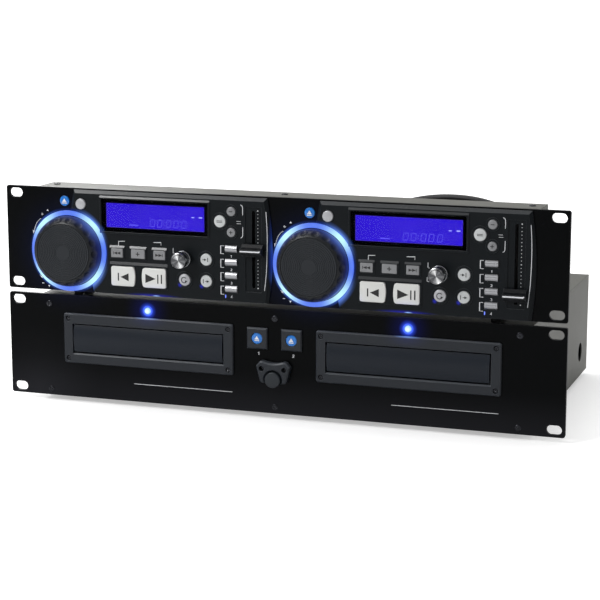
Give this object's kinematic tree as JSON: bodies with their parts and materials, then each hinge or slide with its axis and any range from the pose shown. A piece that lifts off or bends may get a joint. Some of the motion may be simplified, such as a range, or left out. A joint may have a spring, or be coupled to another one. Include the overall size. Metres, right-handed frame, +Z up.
{
  "type": "dual cd player for dj",
  "caption": "Rack-mount dual disc player: a player unit with motor-driven disc trays, and a slim control unit with jog wheels, displays, keys and pitch faders.",
  "frame": {"origin": "On the table, under the middle of the bounding box of the two units without their link lead.", "axes": "+X to the right seen from the front, +Y into the object from its front panels, +Z up."},
  "size_m": [0.4826, 0.3421, 0.1846],
  "materials": {
    "panel_paint": "satin black powder coat",
    "case_paint": "grey satin sheet metal",
    "fascia_plastic": "dark slate moulding, satin",
    "bezel_plastic": "dark blue-grey moulding",
    "tray_plastic": "dark blue-grey moulding",
    "wheel_plastic": "dark satin with a glossy shoulder",
    "knob_metal": "turned and brushed",
    "silver_key": "silver lacquer",
    "pale_key": "pale translucent, lit from behind",
    "lit_key": "pale translucent",
    "dark_key": "satin black",
    "blue_key": "blue, lit from behind",
    "fader_plastic": "satin black with a white line",
    "light_guide": "clear, lit blue from behind",
    "window": "clear tinted acrylic",
    "zinc_sheet": "zinc-plated sheet",
    "loader_steel": "zinc-plated sheet",
    "screw_steel": "blackened",
    "foot_rubber": "matt black",
    "board": "green laminate",
    "lead_sheath": "satin black sheath",
    "plug_plastic": "black moulding"
  },
  "bodies": {
    "chassis": {"control_front_plate": "panel_paint", "control_case": "case_paint", "deck_fascias": "fascia_plastic", "light_guides": "light_guide", "display_windows": "window", "player_front_plate": "panel_paint", "player_chassis": "zinc_sheet", "player_cover": "case_paint", "tray_bezels": "bezel_plastic", "case_screws": "screw_steel", "rubber_feet": "foot_rubber", "disc_drives": "loader_steel", "circuit_boards": "board", "link_cable": "lead_sheath", "cable_plugs": "plug_plastic"},
    "search_back_key_1_body": {"search_back_key_1": "silver_key"},
    "skip_ten_key_1_body": {"skip_ten_key_1": "silver_key"},
    "search_forward_key_1_body": {"search_forward_key_1": "silver_key"},
    "cue_key_1_body": {"cue_key_1": "pale_key"},
    "play_key_1_body": {"play_key_1": "pale_key"},
    "loop_in_key_1_body": {"loop_in_key_1": "lit_key"},
    "loop_out_key_1_body": {"loop_out_key_1": "lit_key"},
    "reloop_key_1_body": {"reloop_key_1": "silver_key"},
    "pitch_key_1_body": {"pitch_key_1": "lit_key"},
    "bend_down_key_1_body": {"bend_down_key_1": "silver_key"},
    "bend_up_key_1_body": {"bend_up_key_1": "silver_key"},
    "mode_key_a_1_body": {"mode_key_a_1": "silver_key"},
    "mode_key_b_1_body": {"mode_key_b_1": "silver_key"},
    "mode_key_c_1_body": {"mode_key_c_1": "silver_key"},
    "mode_key_d_1_body": {"mode_key_d_1": "silver_key"},
    "browse_key_1_body": {"browse_key_1": "lit_key"},
    "eject_key_1_body": {"eject_key_1": "blue_key"},
    "jog_wheel_1_body": {"jog_wheel_1": "wheel_plastic"},
    "track_knob_1_body": {"track_knob_1": "knob_metal"},
    "pitch_fader_1_body": {"pitch_fader_1": "fader_plastic"},
    "disc_tray_1_body": {"disc_tray_1": "tray_plastic"},
    "tray_key_1_body": {"tray_key_1": "blue_key"},
    "search_back_key_2_body": {"search_back_key_2": "silver_key"},
    "skip_ten_key_2_body": {"skip_ten_key_2": "silver_key"},
    "search_forward_key_2_body": {"search_forward_key_2": "silver_key"},
    "cue_key_2_body": {"cue_key_2": "pale_key"},
    "play_key_2_body": {"play_key_2": "pale_key"},
    "loop_in_key_2_body": {"loop_in_key_2": "lit_key"},
    "loop_out_key_2_body": {"loop_out_key_2": "lit_key"},
    "reloop_key_2_body": {"reloop_key_2": "silver_key"},
    "pitch_key_2_body": {"pitch_key_2": "lit_key"},
    "bend_down_key_2_body": {"bend_down_key_2": "silver_key"},
    "bend_up_key_2_body": {"bend_up_key_2": "silver_key"},
    "mode_key_a_2_body": {"mode_key_a_2": "silver_key"},
    "mode_key_b_2_body": {"mode_key_b_2": "silver_key"},
    "mode_key_c_2_body": {"mode_key_c_2": "silver_key"},
    "mode_key_d_2_body": {"mode_key_d_2": "silver_key"},
    "browse_key_2_body": {"browse_key_2": "lit_key"},
    "eject_key_2_body": {"eject_key_2": "blue_key"},
    "jog_wheel_2_body": {"jog_wheel_2": "wheel_plastic"},
    "track_knob_2_body": {"track_knob_2": "knob_metal"},
    "pitch_fader_2_body": {"pitch_fader_2": "fader_plastic"},
    "disc_tray_2_body": {"disc_tray_2": "tray_plastic"},
    "tray_key_2_body": {"tray_key_2": "blue_key"},
    "power_key_body": {"power_key": "dark_key"}
  },
  "joints": [
    {"name": "search_back_key_1_travel", "type": "slide", "parent": "chassis", "child": "search_back_key_1_body", "axis": [0, 1, 0], "range_m": [0, 0.001], "stiffness_N_per_m": 150, "springref_m": -0.001},
    {"name": "skip_ten_key_1_travel", "type": "slide", "parent": "chassis", "child": "skip_ten_key_1_body", "axis": [0, 1, 0], "range_m": [0, 0.001], "stiffness_N_per_m": 150, "springref_m": -0.001},
    {"name": "search_forward_key_1_travel", "type": "slide", "parent": "chassis", "child": "search_forward_key_1_body", "axis": [0, 1, 0], "range_m": [0, 0.001], "stiffness_N_per_m": 150, "springref_m": -0.001},
    {"name": "cue_key_1_travel", "type": "slide", "parent": "chassis", "child": "cue_key_1_body", "axis": [0, 1, 0], "range_m": [0, 0.001], "stiffness_N_per_m": 150, "springref_m": -0.001},
    {"name": "play_key_1_travel", "type": "slide", "parent": "chassis", "child": "play_key_1_body", "axis": [0, 1, 0], "range_m": [0, 0.001], "stiffness_N_per_m": 150, "springref_m": -0.001},
    {"name": "loop_in_key_1_travel", "type": "slide", "parent": "chassis", "child": "loop_in_key_1_body", "axis": [0, 1, 0], "range_m": [0, 0.001], "stiffness_N_per_m": 150, "springref_m": -0.001},
    {"name": "loop_out_key_1_travel", "type": "slide", "parent": "chassis", "child": "loop_out_key_1_body", "axis": [0, 1, 0], "range_m": [0, 0.001], "stiffness_N_per_m": 150, "springref_m": -0.001},
    {"name": "reloop_key_1_travel", "type": "slide", "parent": "chassis", "child": "reloop_key_1_body", "axis": [0, 1, 0], "range_m": [0, 0.001], "stiffness_N_per_m": 150, "springref_m": -0.001},
    {"name": "pitch_key_1_travel", "type": "slide", "parent": "chassis", "child": "pitch_key_1_body", "axis": [0, 1, 0], "range_m": [0, 0.001], "stiffness_N_per_m": 150, "springref_m": -0.001},
    {"name": "bend_down_key_1_travel", "type": "slide", "parent": "chassis", "child": "bend_down_key_1_body", "axis": [0, 1, 0], "range_m": [0, 0.001], "stiffness_N_per_m": 150, "springref_m": -0.001},
    {"name": "bend_up_key_1_travel", "type": "slide", "parent": "chassis", "child": "bend_up_key_1_body", "axis": [0, 1, 0], "range_m": [0, 0.001], "stiffness_N_per_m": 150, "springref_m": -0.001},
    {"name": "mode_key_a_1_travel", "type": "slide", "parent": "chassis", "child": "mode_key_a_1_body", "axis": [0, 1, 0], "range_m": [0, 0.001], "stiffness_N_per_m": 150, "springref_m": -0.001},
    {"name": "mode_key_b_1_travel", "type": "slide", "parent": "chassis", "child": "mode_key_b_1_body", "axis": [0, 1, 0], "range_m": [0, 0.001], "stiffness_N_per_m": 150, "springref_m": -0.001},
    {"name": "mode_key_c_1_travel", "type": "slide", "parent": "chassis", "child": "mode_key_c_1_body", "axis": [0, 1, 0], "range_m": [0, 0.001], "stiffness_N_per_m": 150, "springref_m": -0.001},
    {"name": "mode_key_d_1_travel", "type": "slide", "parent": "chassis", "child": "mode_key_d_1_body", "axis": [0, 1, 0], "range_m": [0, 0.001], "stiffness_N_per_m": 150, "springref_m": -0.001},
    {"name": "browse_key_1_travel", "type": "slide", "parent": "chassis", "child": "browse_key_1_body", "axis": [0, 1, 0], "range_m": [0, 0.001], "stiffness_N_per_m": 150, "springref_m": -0.001},
    {"name": "eject_key_1_travel", "type": "slide", "parent": "chassis", "child": "eject_key_1_body", "axis": [0, 1, 0], "range_m": [0, 0.001], "stiffness_N_per_m": 150, "springref_m": -0.001},
    {"name": "jog_wheel_1_spin", "type": "hinge", "parent": "chassis", "child": "jog_wheel_1_body", "pos_m": [-0.1839, -0.1185, 0.131], "axis": [0, 1, 0], "continuous": true},
    {"name": "track_knob_1_spin", "type": "hinge", "parent": "chassis", "child": "track_knob_1_body", "pos_m": [-0.0774, -0.1185, 0.131], "axis": [0, 1, 0], "continuous": true},
    {"name": "pitch_fader_1_travel", "type": "slide", "parent": "chassis", "child": "pitch_fader_1_body", "axis": [0, 0, 1], "range_m": [-0.0287, 0.0293]},
    {"name": "disc_tray_1_travel", "type": "slide", "parent": "chassis", "child": "disc_tray_1_body", "axis": [0, -1, 0], "range_m": [0, 0.132]},
    {"name": "tray_key_1_travel", "type": "slide", "parent": "chassis", "child": "tray_key_1_body", "axis": [0, 1, 0], "range_m": [0, 0.001], "stiffness_N_per_m": 150, "springref_m": -0.001},
    {"name": "search_back_key_2_travel", "type": "slide", "parent": "chassis", "child": "search_back_key_2_body", "axis": [0, 1, 0], "range_m": [0, 0.001], "stiffness_N_per_m": 150, "springref_m": -0.001},
    {"name": "skip_ten_key_2_travel", "type": "slide", "parent": "chassis", "child": "skip_ten_key_2_body", "axis": [0, 1, 0], "range_m": [0, 0.001], "stiffness_N_per_m": 150, "springref_m": -0.001},
    {"name": "search_forward_key_2_travel", "type": "slide", "parent": "chassis", "child": "search_forward_key_2_body", "axis": [0, 1, 0], "range_m": [0, 0.001], "stiffness_N_per_m": 150, "springref_m": -0.001},
    {"name": "cue_key_2_travel", "type": "slide", "parent": "chassis", "child": "cue_key_2_body", "axis": [0, 1, 0], "range_m": [0, 0.001], "stiffness_N_per_m": 150, "springref_m": -0.001},
    {"name": "play_key_2_travel", "type": "slide", "parent": "chassis", "child": "play_key_2_body", "axis": [0, 1, 0], "range_m": [0, 0.001], "stiffness_N_per_m": 150, "springref_m": -0.001},
    {"name": "loop_in_key_2_travel", "type": "slide", "parent": "chassis", "child": "loop_in_key_2_body", "axis": [0, 1, 0], "range_m": [0, 0.001], "stiffness_N_per_m": 150, "springref_m": -0.001},
    {"name": "loop_out_key_2_travel", "type": "slide", "parent": "chassis", "child": "loop_out_key_2_body", "axis": [0, 1, 0], "range_m": [0, 0.001], "stiffness_N_per_m": 150, "springref_m": -0.001},
    {"name": "reloop_key_2_travel", "type": "slide", "parent": "chassis", "child": "reloop_key_2_body", "axis": [0, 1, 0], "range_m": [0, 0.001], "stiffness_N_per_m": 150, "springref_m": -0.001},
    {"name": "pitch_key_2_travel", "type": "slide", "parent": "chassis", "child": "pitch_key_2_body", "axis": [0, 1, 0], "range_m": [0, 0.001], "stiffness_N_per_m": 150, "springref_m": -0.001},
    {"name": "bend_down_key_2_travel", "type": "slide", "parent": "chassis", "child": "bend_down_key_2_body", "axis": [0, 1, 0], "range_m": [0, 0.001], "stiffness_N_per_m": 150, "springref_m": -0.001},
    {"name": "bend_up_key_2_travel", "type": "slide", "parent": "chassis", "child": "bend_up_key_2_body", "axis": [0, 1, 0], "range_m": [0, 0.001], "stiffness_N_per_m": 150, "springref_m": -0.001},
    {"name": "mode_key_a_2_travel", "type": "slide", "parent": "chassis", "child": "mode_key_a_2_body", "axis": [0, 1, 0], "range_m": [0, 0.001], "stiffness_N_per_m": 150, "springref_m": -0.001},
    {"name": "mode_key_b_2_travel", "type": "slide", "parent": "chassis", "child": "mode_key_b_2_body", "axis": [0, 1, 0], "range_m": [0, 0.001], "stiffness_N_per_m": 150, "springref_m": -0.001},
    {"name": "mode_key_c_2_travel", "type": "slide", "parent": "chassis", "child": "mode_key_c_2_body", "axis": [0, 1, 0], "range_m": [0, 0.001], "stiffness_N_per_m": 150, "springref_m": -0.001},
    {"name": "mode_key_d_2_travel", "type": "slide", "parent": "chassis", "child": "mode_key_d_2_body", "axis": [0, 1, 0], "range_m": [0, 0.001], "stiffness_N_per_m": 150, "springref_m": -0.001},
    {"name": "browse_key_2_travel", "type": "slide", "parent": "chassis", "child": "browse_key_2_body", "axis": [0, 1, 0], "range_m": [0, 0.001], "stiffness_N_per_m": 150, "springref_m": -0.001},
    {"name": "eject_key_2_travel", "type": "slide", "parent": "chassis", "child": "eject_key_2_body", "axis": [0, 1, 0], "range_m": [0, 0.001], "stiffness_N_per_m": 150, "springref_m": -0.001},
    {"name": "jog_wheel_2_spin", "type": "hinge", "parent": "chassis", "child": "jog_wheel_2_body", "pos_m": [0.0333, -0.1185, 0.131], "axis": [0, 1, 0], "continuous": true},
    {"name": "track_knob_2_spin", "type": "hinge", "parent": "chassis", "child": "track_knob_2_body", "pos_m": [0.1398, -0.1185, 0.131], "axis": [0, 1, 0], "continuous": true},
    {"name": "pitch_fader_2_travel", "type": "slide", "parent": "chassis", "child": "pitch_fader_2_body", "axis": [0, 0, 1], "range_m": [-0.005, 0.053]},
    {"name": "disc_tray_2_travel", "type": "slide", "parent": "chassis", "child": "disc_tray_2_body", "axis": [0, -1, 0], "range_m": [0, 0.132]},
    {"name": "tray_key_2_travel", "type": "slide", "parent": "chassis", "child": "tray_key_2_body", "axis": [0, 1, 0], "range_m": [0, 0.001], "stiffness_N_per_m": 150, "springref_m": -0.001},
    {"name": "power_key_travel", "type": "slide", "parent": "chassis", "child": "power_key_body", "axis": [0, 1, 0], "range_m": [0, 0.0026], "stiffness_N_per_m": 150, "springref_m": -0.001}
  ]
}
